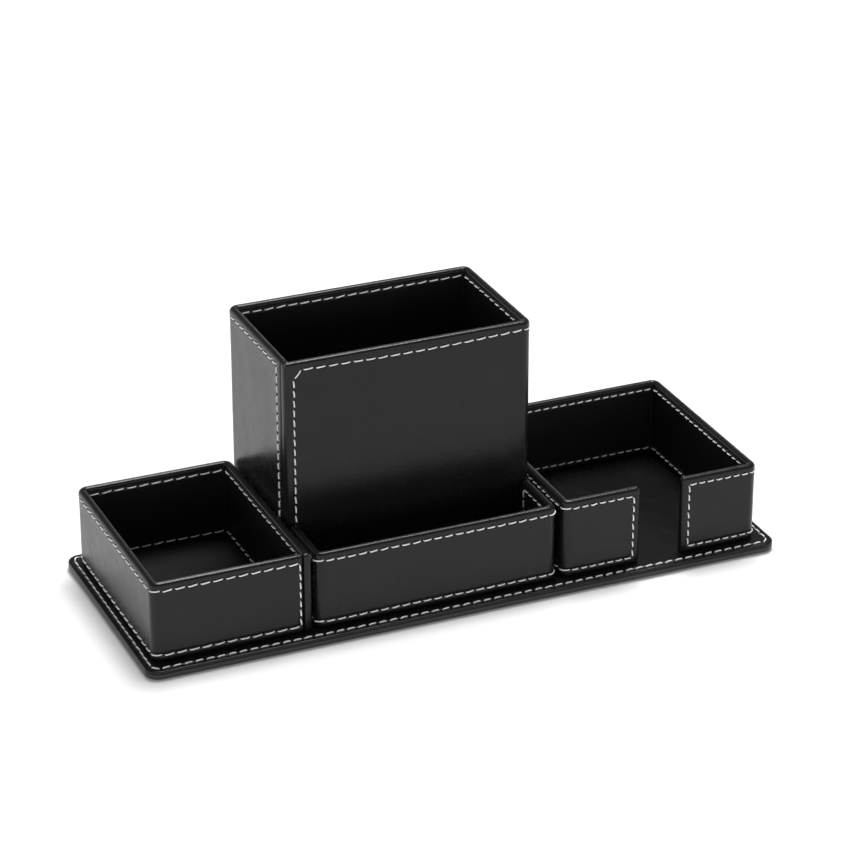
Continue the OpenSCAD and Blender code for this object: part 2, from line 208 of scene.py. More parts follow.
def wander(points):
    """Slow unevenness of a glued skin, mostly between -1 and 1."""
    total = np.zeros(points.shape[:-1])
    for direction, length, phase in WAVES:
        along = points @ (direction / np.linalg.norm(direction))
        total += np.sin(along * 2 * math.pi / length + phase)
    return total / math.sqrt(len(WAVES))


def press(points, outward, stitches):
    """Presses the stitches into a skin: a shallow groove under each thread, a dimple at each
    needle hole, and a soft swelling along both sides. A stitch moves only points that face its way."""
    groove, hole, swell = np.zeros((3, len(points)))
    tree = KDTree(len(points))
    for i, point in enumerate(points):
        tree.insert(point, i)
    tree.balance()
    for a, middle, b, normal in stitches:
        near = np.array([i for _, i, _ in tree.find_range(middle, PRESS_REACH)], int)
        near = near[outward[near] @ normal > FACING] if len(near) else near
        if not len(near):
            continue
        p = points[near]
        along = np.clip((p - a) @ (b - a) / ((b - a) @ (b - a)), 0, 1)
        away = np.linalg.norm(p - a - along[:, None] * (b - a), axis=1)
        groove[near] = np.maximum(groove[near], np.exp(-(away / GROOVE_W) ** 2))
        swell[near] = np.maximum(swell[near], np.exp(-((away - SWELL_AT) / SWELL_W) ** 2))
        for end in (a, b):
            hole[near] += np.exp(-(np.linalg.norm(p - end, axis=1) / HOLE_W) ** 2)
    lift = SWELL * swell * (1 - groove) - GROOVE * groove - HOLE * np.minimum(hole, 1)
    return points + outward * (lift + WANDER * wander(points))[:, None]


def sew(start, end, normal, pitch, sag=0.0):
    """Stitches in a straight row: both ends, the middle and the face's direction of each. The holes
    stray a little from the line, and the middle of the row hangs lower by sag."""
    length = np.linalg.norm(end - start)
    along = (end - start) / length
    count = max(1, round(length / pitch))
    place = np.linspace(0, 1, count + 1)[:, None]
    holes = start + place * (end - start) - (0, 0, 4 * sag) * place * (1 - place)
    holes += np.cross(normal, along) * rng.normal(0, ROW_STRAY, (count + 1, 1))
    half_gap = STITCH_GAP / 2 * along
    return [(a + half_gap, (a + b) / 2, b - half_gap, normal) for a, b in zip(holes, holes[1:])]


def sew_round(centre, radius, corner, z, pitch, up=False):
    """Stitches in a row round a corner, on an upright face or on a face that looks up."""
    arc = radius * QUARTER_TURN
    count = max(1, round(arc / pitch))
    share = arc / count
    stitches = []
    for a, b in np.arange(count)[:, None] * share + (STITCH_GAP / 2, share - STITCH_GAP / 2):
        turns = [s / radius for s in (a, (a + b) / 2, b)]
        outs = [turned((math.sin(turn), -math.cos(turn)), corner) for turn in turns]
        ends = [np.append(centre + radius * out, z) for out in outs]
        stitches.append((*ends, UP if up else np.append(outs[1], 0)))
    return stitches


def thread_piece(name, stitches, node):
    """Every stitch of a box: two plies twisted together, which dip into the needle holes."""
    a, middle, b, normal = (np.array(part) for part in zip(*stitches))
    count = len(stitches)
    length = np.linalg.norm(b - a, axis=1)
    along = (b - a) / length[:, None]
    side = np.cross(normal, along)
    u = np.linspace(0, 1, THREAD_RINGS)[None, :, None]
    # A curve through both ends and the middle of each stitch
    centre = (a[:, None] * (1 - u) * (1 - 2 * u) + middle[:, None] * 4 * u * (1 - u)
              + b[:, None] * u * (2 * u - 1))
    from_middle = np.abs(2 * u - 1)
    proud = THREAD_PROUD + rng.uniform(-PROUD_SPREAD, PROUD_SPREAD, (count, 1, 1))
    centre = centre + normal[:, None] * (proud - (proud + THREAD_DIP) * from_middle ** DIP_POWER)
    lean = STITCH_LEAN + rng.normal(0, LEAN_SPREAD, count)
    centre = centre + side[:, None] * ((u - 0.5) * (length * np.tan(lean))[:, None, None])
    turn = np.linspace(0, FULL_TURN, THREAD_SIDES, endpoint=False)[None, None]
    twist = u * (FULL_TURN * length / THREAD_TWIST)[:, None, None]
    twist = twist + rng.uniform(0, math.pi, (count, 1, 1))
    radius = THREAD_R * (1 - PLY_DEPTH + PLY_DEPTH * np.cos(2 * (turn - twist)))
    radius = radius * (1 - THREAD_TAPER * from_middle ** TAPER_POWER)
    points = (centre[:, :, None] + side[:, None, None] * (radius * np.cos(turn))[..., None]
              + normal[:, None, None] * (radius * np.sin(turn))[..., None])
    tube = grid_faces(THREAD_RINGS, THREAD_SIDES, wrap_columns=True)
    size = THREAD_RINGS * THREAD_SIDES
    caps = [np.arange(THREAD_SIDES)[::-1], size - THREAD_SIDES + np.arange(THREAD_SIDES)]
    faces = [face + i * size for i in range(count) for face in (*tube, *caps)]
    make_piece(name, points.reshape(-1, 3), faces, waxed_thread, "thread", node)


# Plan of the boxes

def turned(vector, k):
    """A plan vector turned by k quarter turns."""
    x, y = vector
    return np.array([(x, y), (-y, x), (-x, -y), (y, -x)][k % 4], float)


def plan_corners(lo, hi):
    """The four corners of a rectangle in plan."""
    return np.array([(hi[0], lo[1]), (hi[0], hi[1]), (lo[0], hi[1]), (lo[0], lo[1])])


def round_centre(corners, k, radius):
    """Centre of the round at corner k."""
    return corners[k] + turned((-radius, radius), k)


def face_normal(k, inward=0.0):
    """Where the outer face of a wall on side k looks, or its inner face."""
    return np.append(turned((0, 1 if inward else -1), k), 0)


class Box:
    """Where the sides and corners of a box are in plan, and where its rim and foot are."""

    def __init__(self, name):
        self.name = name
        self.lo, self.hi = extent(name + "_cover")
        self.pitch = PITCH[name]
        self.foot = self.lo[2]
        self.height = self.hi[2] - self.lo[2]
        self.rows = (FOOT_ROW, self.height - RIM_ROW)
        self.corners = plan_corners(self.lo, self.hi)

    def length(self, k):
        """Outer length of side k."""
        return np.linalg.norm(self.corners[k] - self.corners[k - 1])

    def on_side(self, k, distance, inward=0.0):
        """Point on side k, at a distance from the corner before it."""
        return self.corners[k - 1] + turned((distance, inward), k)

    def straight(self, k, distances):
        """Outer, middle and inner points of a stretch of side k, and how deep a seam cuts its rim."""
        lines = [np.array([self.on_side(k, s, inward) for s in distances]) for inward in (0, HALF, WALL)]
        return [*lines, np.zeros(len(distances))]

    def round_corner(self, k):
        """The same of a corner that the cover is wrapped round."""
        turn = spread(0, QUARTER_TURN, QUARTER_TURN / ARC_STEPS)
        out = np.array([turned((math.sin(a), -math.cos(a)), k) for a in turn])
        centre = round_centre(self.corners, k, CORNER_R)
        lines = [centre + (CORNER_R - inward) * out for inward in (0, HALF, WALL)]
        return [*lines, np.zeros(len(turn))]

    def sewn_corner(self, k):
        """The same of a corner where the cover's ends meet: the wall after it runs through to a
        rounded end, and the wall before it rolls in against that end."""
        roll_start = -WALL - SEAM_ROLL * math.sin(SEAM_TURN)
        quarter = np.linspace(0, QUARTER_TURN, ARC_STEPS)
        outer = [(x, 0) for x in spread(-SEAM_START, roll_start, FINE_STEP)]
        outer += [(roll_start + SEAM_ROLL * math.sin(a), SEAM_ROLL * (1 - math.cos(a)))
                  for a in np.linspace(0, SEAM_TURN, ARC_STEPS)]
        outer += [(LEDGE - WALL + SEAM_LIP * (1 - math.cos(a)), SEAM_LIP * (1 - math.sin(a)))
                  for a in quarter]
        outer += [(SEWN_END * (math.sin(a) - 1), SEWN_END_DEPTH * (1 - math.cos(a))) for a in quarter[1:]]
        outer = np.array(outer + [(0, y) for y in spread(SEWN_END_DEPTH, CORNER_R, FINE_STEP)[1:]])
        middle = np.stack([np.minimum(outer[:, 0], -HALF), np.maximum(outer[:, 1], HALF)], 1)
        flat = np.count_nonzero(outer[:, 0] < -CORNER_R)
        turn = np.linspace(0, QUARTER_TURN, len(outer) - flat, endpoint=False)
        bend = np.stack([INNER_R * np.sin(turn) - CORNER_R, CORNER_R - INNER_R * np.cos(turn)], 1)
        inner = np.concatenate([np.stack([outer[:flat, 0], np.full(flat, WALL)], 1), bend])
        notch = NOTCH * np.exp(-((outer[:, 0] + WALL) / NOTCH_W) ** 2)
        lines = [self.corners[k] + np.array([turned(p, k) for p in line])
                 for line in (outer, middle, inner)]
        return [*lines, notch]

    def end_cap(self, k, distance, facing):
        """Outline round a free end of a wall on side k, from the outer face to the inner one."""
        turn = np.linspace(0, QUARTER_TURN, ARC_STEPS)
        bend = [(END_R * math.sin(a), END_R * (1 - math.cos(a))) for a in turn]
        outline = bend + [(x, WALL - y) for x, y in bend[::-1]]
        start = distance - facing * END_R
        return np.array([self.on_side(k, start + facing * x, y) for x, y in outline])


def side_places(start, end, uprights):
    """Places along a straight side, close together beside upright rows, without its end."""
    return close_to_rows(start, end, uprights, STEP)[:-1]


def joined(stretches):
    """Outer, middle and inner lines of a wall and the cuts in its rim, end to end."""
    return [np.concatenate(lines) for lines in zip(*stretches)]


def half_section(height, rows, step):
    """Half of a wall's section, from the middle of its foot over its face to the crown of its rim.
    Gives how far each point stands out, how high it is, and whether the lining covers it."""
    hem = [(HALF - EDGE_R * (1 - math.sin(a)), EDGE_R * (1 - math.cos(a)), 0)
           for a in np.linspace(0, QUARTER_TURN, HEM_STEPS)]
    lip = height - RIM_TURN
    face = close_to_rows(EDGE_R + LEDGE, lip - LEDGE, rows, step)
    rim = [(HALF - RIM_R * (1 - math.cos(a)), height - RIM_DOME - RIM_R * (1 - math.sin(a)), 0)
           for a in np.linspace(0, QUARTER_TURN, RIM_STEPS)]
    crown = [(0, height, 0)]
    return np.array([(0, 0, 0)] + hem + [(HALF, z, 1) for z in face] + [(HALF, lip, 0)] + rim + crown)


def skin(face, middle, section, foot, covered, stitches, notch=0.0):
    """Points of a skin: a line along the wall at each point of its section. A seam cuts a notch
    into the rim."""
    plan_out = (face - middle) / HALF
    reach = section[:, :1] - LINING_STEP * section[:, 2:] * covered[None]
    points = np.empty((len(section), len(face), 3))
    points[..., :2] = middle + plan_out * reach[..., None]
    in_rim = np.clip((section[:, 1:2] - section[-1, 1]) / EDGE_R + 1, 0, 1)
    points[..., 2] = foot + section[:, 1:2] - notch * in_rim
    outward = np.zeros_like(points)
    outward[..., :2] = plan_out * (reach / HALF)[..., None] ** 2
    return press(points.reshape(-1, 3), outward.reshape(-1, 3), stitches)


def line_box(box, face, middle, stitches, closed):
    """The lining of a box, all round or from one free end to the other: a strip with a rolled upper
    edge that lies in the cover's step."""
    low, high = EDGE_R + LINING_GAP, box.height - RIM_TURN - LINING_GAP
    back, front = HALF - LINING_STEP, HALF - LINING_BACK
    edge = front - back
    heights = close_to_rows(low, high - edge, box.rows, LINING_FACE_STEP)
    roll = [(back + edge * math.cos(a), high - edge + edge * math.sin(a), 0)
            for a in np.linspace(0, QUARTER_TURN, HEM_STEPS)[1:]]
    section = np.array([(back, low, 0)] + [(front, z, 0) for z in heights] + roll)
    rows, columns = len(section), len(face)
    points = skin(face, middle, section, box.foot, np.zeros(columns), stitches)
    faces = list(grid_faces(rows, columns, wrap_columns=closed, wrap_rows=True))
    if not closed:
        faces += [np.arange(rows) * columns, np.arange(rows)[::-1] * columns + columns - 1]
    make_piece(box.name + "_inner_skin", points, faces, satin_lining, "lining", box.name + "_lining")


def wall_rows(box, sides, z, inward=0.0, front_sag=0.0):
    """Stitches along stretches of sides at one height: each stretch is a side and its two ends."""
    stitches = []
    for k, start, end in sides:
        ends = [np.append(box.on_side(k, s, inward), box.foot + z) for s in (start, end)]
        stitches += sew(*ends, face_normal(k, inward), box.pitch, front_sag if k == FRONT else 0)
    return stitches


def upright_row(box, k, distance, low, high, inward=0.0):
    """Stitches up a wall."""
    ends = [np.append(box.on_side(k, distance, inward), box.foot + z) for z in (low, high)]
    return sew(*ends, face_normal(k, inward), UPRIGHT_PITCH)


def corner_rows(box, corners, z):
    """Stitches round the outside of wrapped corners at one height."""
    stitches = []
    for k in corners:
        centre = round_centre(box.corners, k, CORNER_R)
        stitches += sew_round(centre, CORNER_R, k, box.foot + z, box.pitch)
    return stitches


def full_sides(box, sides):
    """Whole sides, from corner to corner, as stretches."""
    return [[k, CORNER_R, box.length(k) - CORNER_R] for k in sides]


def closed_box(name, seam, slant=0.0, front_sag=0.0):
    """A box with four walls whose cover is sewn together at one corner. A stitch with legs of length
    slant turns the rim's row down there, and the rim's front row hangs by front_sag."""
    box = Box(name)
    after = (seam + 1) % 4
    stop = box.length(seam) - SEAM_ROW[name]
    rim = box.rows[1]
    outside = []
    for z in box.rows:
        at_rim = z == rim
        sides = full_sides(box, range(4))
        sides[seam][2] = stop
        sides[after][1] = START_ROW + (slant if at_rim else 0)
        outside += wall_rows(box, sides, z, front_sag=front_sag if at_rim else 0)
        outside += corner_rows(box, [k for k in range(4) if k != seam], z)
    outside += upright_row(box, seam, stop, FOOT_ROW, rim)
    outside += upright_row(box, after, START_ROW, FOOT_ROW, rim - slant)
    if slant:
        low = np.append(box.on_side(after, START_ROW), box.foot + rim - slant)
        high = np.append(box.on_side(after, START_ROW + slant), box.foot + rim)
        outside += sew(low, high, face_normal(after), box.pitch)
    inside = [s for z in box.rows for s in wall_rows(box, full_sides(box, range(4)), z, WALL)]

    stretches = []
    for k in range(4):
        end = box.length(k) - (SEAM_START if k == seam else CORNER_R)
        uprights = [stop] if k == seam else [START_ROW] if k == after else []
        stretches.append(box.straight(k, side_places(CORNER_R, end, uprights)))
        stretches.append(box.sewn_corner(k) if k == seam else box.round_corner(k))
    outer, middle, inner, notch = joined(stretches)
    columns = len(outer)
    front = half_section(box.height, box.rows, FACE_STEP)
    behind = half_section(box.height, [], HIDDEN_STEP)
    points = np.concatenate([
        skin(outer, middle, front, box.foot, np.zeros(columns), outside, notch),
        skin(inner, middle, behind, box.foot, np.ones(columns), [], notch),
    ])
    faces = np.concatenate([
        grid_faces(len(front), columns, wrap_columns=True),
        grid_faces(len(behind), columns, wrap_columns=True) + len(front) * columns,
    ])
    make_piece(name + "_skin", points, faces, leatherette, "leatherette", name + "_cover")
    line_box(box, inner, middle, inside, True)
    thread_piece(name + "_thread", outside + inside, name + "_stitching")


def end_rows(box, sides, inward):
    """Rows of a wall with two free ends: along its rim and foot, and up beside each end."""
    first, last = sides[0], sides[-1]
    trimmed = [list(side) for side in sides]
    trimmed[0][1] += END_ROW
    trimmed[-1][2] -= END_ROW
    stitches = [s for z in box.rows for s in wall_rows(box, trimmed, z, inward)]
    stitches += upright_row(box, first[0], first[1] + END_ROW, *box.rows, inward)
    stitches += upright_row(box, last[0], last[2] - END_ROW, *box.rows, inward)
    if not inward:
        corners = [k for k, _, _ in sides[:-1]]
        stitches += [s for z in box.rows for s in corner_rows(box, corners, z)]
    return stitches


def open_box(box, sides):
    """A box with a gap: its wall runs along the sides listed, from one free end to the other."""
    outside = end_rows(box, sides, 0)
    inside = end_rows(box, sides, WALL)
    stretches = []
    for i, (k, start, end) in enumerate(sides):
        first, last = i == 0, i == len(sides) - 1
        uprights = [start + END_ROW] * first + [end - END_ROW] * last
        places = side_places(start + first * HALF, end - last * HALF, uprights)
        stretches.append(box.straight(k, np.append(places, end - HALF) if last else places))
        if not last:
            stretches.append(box.round_corner(k))
    outer, middle, inner, _ = joined(stretches)
    start_cap = box.end_cap(sides[0][0], sides[0][1], -1)[::-1]
    end_cap = box.end_cap(sides[-1][0], sides[-1][2], 1)
    count, cap = len(outer), len(end_cap)
    face = np.concatenate([outer, end_cap, inner[::-1], start_cap])
    start_core, end_core = np.repeat(middle[:1], cap, 0), np.repeat(middle[-1:], cap, 0)
    core = np.concatenate([middle, end_core, middle[::-1], start_core])
    covered = np.concatenate([np.zeros(count + cap + 1), np.ones(count - 2), np.zeros(1 + cap)])
    section = half_section(box.height, box.rows, FACE_STEP)
    points = skin(face, core, section, box.foot, covered, outside)
    faces = grid_faces(len(section), len(face), wrap_columns=True)
    make_piece(box.name + "_skin", points, faces, leatherette, "leatherette", box.name + "_cover")
    line_box(box, inner[1:-1], middle[1:-1], inside, False)
    thread_piece(box.name + "_thread", outside + inside, box.name + "_stitching")


def card_holder():
    """Three walls: the pen cup's front closes the card holder at the back."""
    box = Box("card_holder")
    depth = box.length(LEFT)
    open_box(box, [
        (LEFT, 0, depth - CORNER_R),
        (FRONT, CORNER_R, box.length(FRONT) - CORNER_R),
        (RIGHT, CORNER_R, depth),
    ])


def memo_tray():
    """Four walls, with a slot right down the middle of the front."""
    box = Box("memo_tray")
    slot_left = extent("memo_tray_front_left_board")[1][0] + LEATHER - box.lo[0]
    slot_right = extent("memo_tray_front_right_board")[0][0] - LEATHER - box.lo[0]
    open_box(box, [
        (FRONT, slot_right, box.length(FRONT) - CORNER_R),
        *full_sides(box, [RIGHT, BACK, LEFT]),
        (FRONT, CORNER_R, slot_left),
    ])


# Flat pieces

def slab(name, node, corner_r, top_r, low_r, rows, step, material, slot, stitches, crown=0.0):
    """A flat rounded plate: rings of points from under its edge, over the edge and in to where its
    corners end, and a grid over the rest of its top. The middle of the top is higher by crown."""
    lo, hi = extent(node)
    size = hi - lo
    hem = np.linspace(0, QUARTER_TURN, HEM_STEPS)
    low = [(low_r * (1 - math.sin(a)), low_r * (1 - math.cos(a))) for a in hem]
    high = [(top_r * (1 - math.cos(a)), size[2] - top_r * (1 - math.sin(a))) for a in hem]
    inward = close_to_rows(top_r, corner_r, rows, FACE_STEP)[1:]
    section = [(corner_r, 0)] + low + high + [(s, size[2]) for s in inward]
    x_places = spread(corner_r, size[0] - corner_r, step)
    y_places = spread(corner_r, size[1] - corner_r, step)
    bends = spread(0, QUARTER_TURN, QUARTER_TURN / ARC_STEPS)
    corners = plan_corners(lo, hi)
    rings = []
    for inset, z in section:
        ring = []
        for k in range(4):
            for s in (x_places, y_places)[k % 2]:
                ring.append(corners[k - 1] + turned((s, inset), k))
            centre = round_centre(corners, k, corner_r)
            for a in bends:
                ring.append(centre + (corner_r - inset) * turned((math.sin(a), -math.cos(a)), k))
        rings.append([np.append(p, lo[2] + z) for p in ring])
    columns = len(rings[0])
    faces = list(grid_faces(len(rings), columns, wrap_columns=True))
    faces.append(np.arange(columns)[::-1])
    points = np.array(rings).reshape(-1, 3)
    grid_x = np.append(lo[0] + x_places, hi[0] - corner_r)
    grid_y = np.append(lo[1] + y_places, hi[1] - corner_r)
    grid = np.stack(np.meshgrid(grid_x, grid_y), 2).reshape(-1, 2)
    grid = np.column_stack([grid, np.full(len(grid), hi[2])])
    faces += list(grid_faces(len(grid_y), len(grid_x)) + len(points))
    points = np.concatenate([points, grid])
    outward = np.zeros_like(points)
    outward[:, 2] = points[:, 2] > hi[2] - TOP_LAYER
    points = press(points, outward, stitches)
    # The product of the four distances from the edges is a sixteenth in the middle
    across = (points[:, :2] - lo[:2]) / size[:2]
    rise = np.clip(16 * np.prod(across * (1 - across), axis=1), 0, 1)
    points[:, 2] += crown * outward[:, 2] * rise
    make_piece(name, points, faces, material, slot, node)


def base():
    """The wrapped board and the panel on top of it, sewn round its border."""
    lo, hi = extent("base_top_panel")
    corners = plan_corners(lo, hi)
    stitches = []
    for k in range(4):
        length = np.linalg.norm(corners[k] - corners[k - 1])
        ends = [corners[k - 1] + turned((s, BASE_ROW), k) for s in (BASE_CORNER_R, length - BASE_CORNER_R)]
        stitches += sew(*[np.append(p, hi[2]) for p in ends], UP, PITCH["base"])
        centre = round_centre(corners, k, BASE_CORNER_R)
        stitches += sew_round(centre, BASE_CORNER_R - BASE_ROW, k, hi[2], PITCH["base"], up=True)
    slab("base_top_skin", "base_top_panel", BASE_CORNER_R, BASE_EDGE_R, BASE_UNDER_R, [BASE_ROW], STEP,
         leatherette, "leatherette", stitches)
    # The wrap's greyer colour is a painted sheen along the base's edge
    slab("base_wrap_skin", "base_wrap", BASE_CORNER_R, BASE_EDGE_R, BASE_EDGE_R, [], WRAP_STEP,
         sheen_painted_wrap_leatherette, "leatherette", [])
    thread_piece("base_thread", stitches, "base_stitching")


def tray_floor(tray):
    """The lining on a tray's floor, a little higher in its middle."""
    # The floor lining's near-black colour is painted shade inside the tray
    slab(tray + "_floor_skin", tray + "_floor_lining", INNER_R, TRAY_FLOOR_EDGE_R, TRAY_FLOOR_UNDER_R, [],
         TRAY_FLOOR_STEP, matt_shade_painted_floor_lining, "lining", [], crown=TRAY_FLOOR_CROWN)


# Materials

# Sockets of a Mix node that mixes colours
MIX_A, MIX_B, MIX_RESULT = 6, 7, 2

# Leatherette: sizes of the patches over which its colour and its gloss drift, how far the gloss
# drifts over the usual range of a noise, and the tooth between the pebbles of its grain
TONE_PATCH = 14
GLOSS_PATCH, GLOSS_DRIFT = 6, 0.025
NOISE_LOW, NOISE_HIGH = 0.3, 0.7
GRAIN_WARP = 3
TOOTH_PER_PEBBLE, TOOTH_SHARE = 4, 0.35

# Thread: length of its lighter and darker stretches, and its fibres. Real fibres are about 0.02 mm
# thick, too fine to show, so they are drawn coarser
THREAD_STRETCH = 5
THREAD_FIBRE, FIBRE_DEPTH = 0.12, 0.05


def linear(code):
    """An sRGB hex colour as a linear one."""
    parts = [int(code[i:i + 2], 16) / 255 for i in (1, 3, 5)]
    return [c / 12.92 if c <= 0.04045 else ((c + 0.055) / 1.055) ** 2.4 for c in parts] + [1]


def new_material(name):
    """A material without nodes, and its node tree."""
    material = bpy.data.materials.new(name)
    material.use_nodes = True
    material.node_tree.nodes.clear()
    return material, material.node_tree


def add_node(tree, kind, inputs=None, **settings):
    """One node with its settings. An input is a plain value or the socket that feeds it."""
    node = tree.nodes.new("ShaderNode" + kind)
    for name, value in settings.items():
        setattr(node, name, value)
    for name, value in (inputs or {}).items():
        if isinstance(value, bpy.types.NodeSocket):
            tree.links.new(value, node.inputs[name])
        else:
            node.inputs[name].default_value = value
    return node


def per_metre(size):
    """Texture scale that gives a pattern this size, in millimetres."""
    return 1 / (size * MM)


def mottled(tree, place, size, detail, dark, light):
    """A colour that drifts from dark to light over patches of one size, and the noise behind it."""
    noise = add_node(tree, "TexNoise", {"Vector": place, "Scale": per_metre(size), "Detail": detail})
    noise = noise.outputs["Fac"]
    colour = add_node(tree, "Mix", {0: noise, MIX_A: linear(dark), MIX_B: linear(light)}, data_type="RGBA")
    return colour.outputs[MIX_RESULT], noise


def pebble_height(tree, place, pebble):
    """Height of an embossed grain: soft pebbles of one size with a finer tooth between them."""
    warp = add_node(tree, "TexNoise", {
        "Vector": place, "Scale": per_metre(pebble * GRAIN_WARP), "Detail": 2.0})
    shift = add_node(tree, "VectorMath", {0: warp.outputs["Color"], 1: (pebble * MM,) * 3},
                     operation="MULTIPLY")
    warped = add_node(tree, "VectorMath", {0: place, 1: shift.outputs[0]}, operation="ADD")
    pebbles = add_node(tree, "TexVoronoi", {"Vector": warped.outputs[0], "Scale": per_metre(pebble)},
                       feature="SMOOTH_F1")
    tooth = add_node(tree, "TexNoise", {
        "Vector": place, "Scale": per_metre(pebble / TOOTH_PER_PEBBLE), "Detail": 3.0})
    return add_node(tree, "Math", {0: tooth.outputs["Fac"], 1: TOOTH_SHARE, 2: pebbles.outputs["Distance"]},
                    operation="MULTIPLY_ADD").outputs[0]


def leather_material(name, dark, light, pebble, depth, rough, ior):
    """Leatherette: a coated fabric, near black, whose gloss comes and goes over an embossed grain."""
    material, tree = new_material(name)
    place = add_node(tree, "TexCoord").outputs["Object"]
    colour, _ = mottled(tree, place, TONE_PATCH, 3.0, dark, light)
    handling = add_node(tree, "TexNoise", {"Vector": place, "Scale": per_metre(GLOSS_PATCH), "Detail": 4.0})
    gloss = add_node(tree, "MapRange", {
        "Value": handling.outputs["Fac"], "From Min": NOISE_LOW, "From Max": NOISE_HIGH,
        "To Min": rough - GLOSS_DRIFT, "To Max": rough + GLOSS_DRIFT})
    grain = add_node(tree, "Bump", {
        "Height": pebble_height(tree, place, pebble), "Strength": 0.5, "Distance": depth * MM})
    shader = add_node(tree, "BsdfPrincipled", {
        "Base Color": colour, "Roughness": gloss.outputs[0], "Normal": grain.outputs[0], "IOR": ior})
    add_node(tree, "OutputMaterial", {"Surface": shader.outputs[0]})
    return material


def thread_material(name, dark, light):
    """Waxed thread: lighter and darker lengths, a soft shine and a fibrous tooth."""
    material, tree = new_material(name)
    place = add_node(tree, "TexCoord").outputs["Object"]
    colour, _ = mottled(tree, place, THREAD_STRETCH, 2.0, dark, light)
    fibres = add_node(tree, "TexNoise", {"Vector": place, "Scale": per_metre(THREAD_FIBRE), "Detail": 2.0})
    tooth = add_node(tree, "Bump", {
        "Height": fibres.outputs["Fac"], "Strength": 0.3, "Distance": FIBRE_DEPTH * MM})
    shader = add_node(tree, "BsdfPrincipled", {
        "Base Color": colour, "Roughness": 0.6, "Normal": tooth.outputs[0],
        "Sheen Weight": 0.2, "Sheen Roughness": 0.4})
    add_node(tree, "OutputMaterial", {"Surface": shader.outputs[0]})
    return material


def fibre_material(name, dark, light, fibre, rough, depth):
    """Pressed or flocked fibres: dull, speckled and a little fuzzy."""
    material, tree = new_material(name)
    place = add_node(tree, "TexCoord").outputs["Object"]
    colour, specks = mottled(tree, place, fibre, 6.0, dark, light)
    tooth = add_node(tree, "Bump", {"Height": specks, "Strength": 0.6, "Distance": depth * MM})
    shader = add_node(tree, "BsdfPrincipled", {
        "Base Color": colour, "Roughness": rough, "Normal": tooth.outputs[0]})
    add_node(tree, "OutputMaterial", {"Surface": shader.outputs[0]})
    return material


# The IOR of a leatherette's coat starts at 1.5 and comes down until its reflections are as dim as
# the object's. Its grain is about 0.4 mm wide, too fine to show, so the pebbles are drawn coarser.

# Polyurethane leatherette rolled smooth: black, with soft highlights on each rounded edge and blurred
# reflections on faces seen at a flat angle
leatherette = leather_material("semi-gloss coated leatherette", "#101010", "#181818",
                               pebble=0.8, depth=0.055, rough=0.26, ior=1.34)
# The same sheet wrapped over the base's edge, its colour greyer as a painted sheen that stands in for the
# edge's reflection, so that it shows as a band under the panel
sheen_painted_wrap_leatherette = leather_material("dull leatherette wrap, painted sheen", "#212121", "#2a2a2a",
                                    pebble=0.8, depth=0.055, rough=0.3, ior=1.42)
# Thinner leatherette with a satin coat: dark inside the boxes, with faint wide highlights
satin_lining = leather_material("satin leatherette lining", "#171717", "#1e1e1e",
                                pebble=0.6, depth=0.05, rough=0.34, ior=1.36)
# Leatherette with a matt coat, coloured black and darker than the walls' lining as painted shade inside the
# trays: a floor with hardly a highlight
matt_shade_painted_floor_lining = leather_material("matt leatherette floor lining, painted shade", "#060606", "#0b0b0b",
                               pebble=0.6, depth=0.05, rough=0.5, ior=1.3)
# Spun polyester drawn through wax: bright off-white dashes that stand out from the black
waxed_thread = thread_material("waxed polyester thread", "#e4e3df", "#fdfcfa")
# Pressed pulp: dull warm grey with specks, under the covers
greyboard = fibre_material("grey bookbinding board", "#8d877c", "#b3ada1", fibre=0.9, rough=0.9, depth=0.08)
# Short flocked fibres, drawn coarser than they are: black that takes in nearly all light
flock = fibre_material("black flocked sheet", "#0b0b0b", "#1a1a1a", fibre=0.4, rough=1.0, depth=0.2)


# Assembly

closed_box("clip_tray", FRONT)
closed_box("pen_cup", LEFT, SLANT_LEG, PEN_CUP_SAG)
card_holder()
memo_tray()
base()
tray_floor("clip_tray")
tray_floor("pen_cup")
for name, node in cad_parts.items():
    if name.endswith("_board"):
        node.data.materials.clear()
        node.data.materials.append(greyboard)
    if name == "base_backing":
        node.data.materials.clear()
        node.data.materials.append(flock)


# Camera, table and light: places in metres, the lens and its sensor in millimetres

CAMERA_AZIMUTH, CAMERA_ELEVATION = math.radians(-23.50), math.radians(25.87)
CAMERA_TARGET = Vector((4.667, 0.4, 59.26)) * MM
CAMERA_DISTANCE = 1.42128
CAMERA_LENS, SENSOR = 140.03, 36

TABLE_HALF = 8.0
TABLE_TOP_UP = 0.08

# Grey of the room against the sine of the height above the horizon: walls, then a dim ceiling
ROOM_GREYS = [(0.0, 1.0), (0.17, 1.0), (0.3, 0.12), (1.0, 0.12)]
DIM_SIDE = (0.6, 0.8, 0.0)
BRIGHT_LEVEL, DIM_LEVEL = 2.6, 0.8
SOFTBOX_SIZE = 0.95
SOFTBOX_WATTS = 54
SOFTBOX_PLACE = (0.4, 0.55, 2.05)


def make_camera():
    """The photo's camera, fitted to the edges and rows of the boxes."""
    data = bpy.data.cameras.new("camera")
    data.lens = CAMERA_LENS
    data.sensor_width = SENSOR
    data.sensor_fit = "HORIZONTAL"
    camera = bpy.data.objects.new("camera", data)
    bpy.context.scene.collection.objects.link(camera)
    back = Vector((math.sin(CAMERA_AZIMUTH) * math.cos(CAMERA_ELEVATION),
                   -math.cos(CAMERA_AZIMUTH) * math.cos(CAMERA_ELEVATION), math.sin(CAMERA_ELEVATION)))
    camera.location = CAMERA_TARGET + back * CAMERA_DISTANCE
    camera.rotation_euler = back.to_track_quat("Z", "Y").to_euler()
    bpy.context.scene.camera = camera


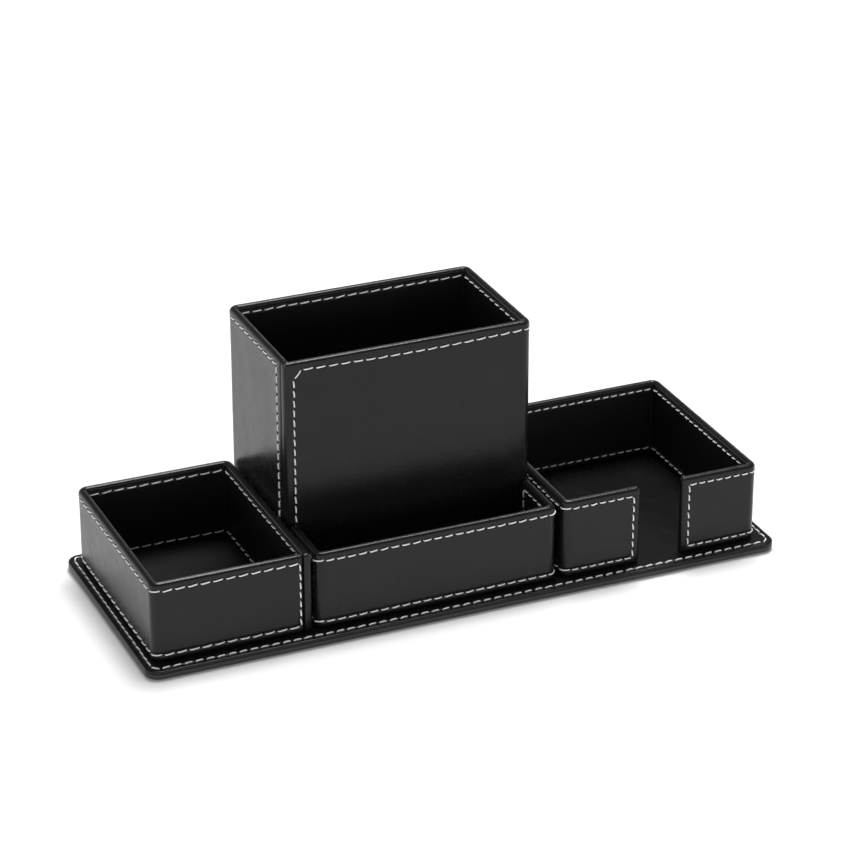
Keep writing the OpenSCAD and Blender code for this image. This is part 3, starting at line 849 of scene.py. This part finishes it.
def make_floor():
    """White studio table: a matt sheet, topped up a little where it is seen so that it renders white."""
    half = TABLE_HALF
    mesh = bpy.data.meshes.new("floor")
    corners = [(-half, -half, 0), (half, -half, 0), (half, half, 0), (-half, half, 0)]
    mesh.from_pydata(corners, [], [(0, 1, 2, 3)])
    material, tree = new_material("white studio table")
    paths = add_node(tree, "LightPath").outputs
    seen = paths["Is Camera Ray"]
    for ray in ("Is Glossy Ray", "Is Transmission Ray"):
        seen = add_node(tree, "Math", {0: seen, 1: paths[ray]}, operation="MAXIMUM").outputs[0]
    level = add_node(tree, "Math", {0: seen, 1: TABLE_TOP_UP}, operation="MULTIPLY")
    sheet = add_node(tree, "BsdfDiffuse", {"Color": linear("#efefef")})
    glow = add_node(tree, "Emission", {"Color": linear("#ffffff"), "Strength": level.outputs[0]})
    both = add_node(tree, "AddShader", {0: sheet.outputs[0], 1: glow.outputs[0]})
    add_node(tree, "OutputMaterial", {"Surface": both.outputs[0]})
    mesh.materials.append(material)
    floor = bpy.data.objects.new("floor", mesh)
    bpy.context.scene.collection.objects.link(floor)


def make_room():
    """A room with a dim ceiling and white walls, brightest at the front left."""
    world = bpy.data.worlds.new("studio")
    bpy.context.scene.world = world
    world.use_nodes = True
    tree = world.node_tree
    tree.nodes.clear()
    way = add_node(tree, "TexCoord").outputs["Generated"]
    height = add_node(tree, "SeparateXYZ", {0: way}).outputs["Z"]
    grey = add_node(tree, "ValToRGB", {0: height})
    marks = grey.color_ramp.elements
    while len(marks) < len(ROOM_GREYS):
        marks.new(0.5)
    for mark, (place, value) in zip(marks, ROOM_GREYS):
        mark.position = place
        mark.color = (value, value, value, 1)
    across = add_node(tree, "VectorMath", {0: way, 1: DIM_SIDE}, operation="DOT_PRODUCT").outputs["Value"]
    level = add_node(tree, "MapRange", {
        "Value": across, "From Min": -1.0, "From Max": 1.0, "To Min": BRIGHT_LEVEL, "To Max": DIM_LEVEL})
    room = add_node(tree, "Background", {"Color": grey.outputs[0], "Strength": level.outputs[0]})
    add_node(tree, "OutputWorld", {"Surface": room.outputs[0]})


def make_softbox():
    """One large soft lamp above the back of the table."""
    lamp = bpy.data.lights.new("softbox", "AREA")
    lamp.shape = "RECTANGLE"
    lamp.size = SOFTBOX_SIZE
    lamp.size_y = SOFTBOX_SIZE
    lamp.energy = SOFTBOX_WATTS
    softbox = bpy.data.objects.new("softbox", lamp)
    softbox.location = SOFTBOX_PLACE
    softbox.rotation_euler = (softbox.location - CAMERA_TARGET).to_track_quat("Z", "Y").to_euler()
    bpy.context.scene.collection.objects.link(softbox)


make_camera()
make_floor()
make_room()
make_softbox()
bpy.context.scene.view_settings.view_transform = "Standard"
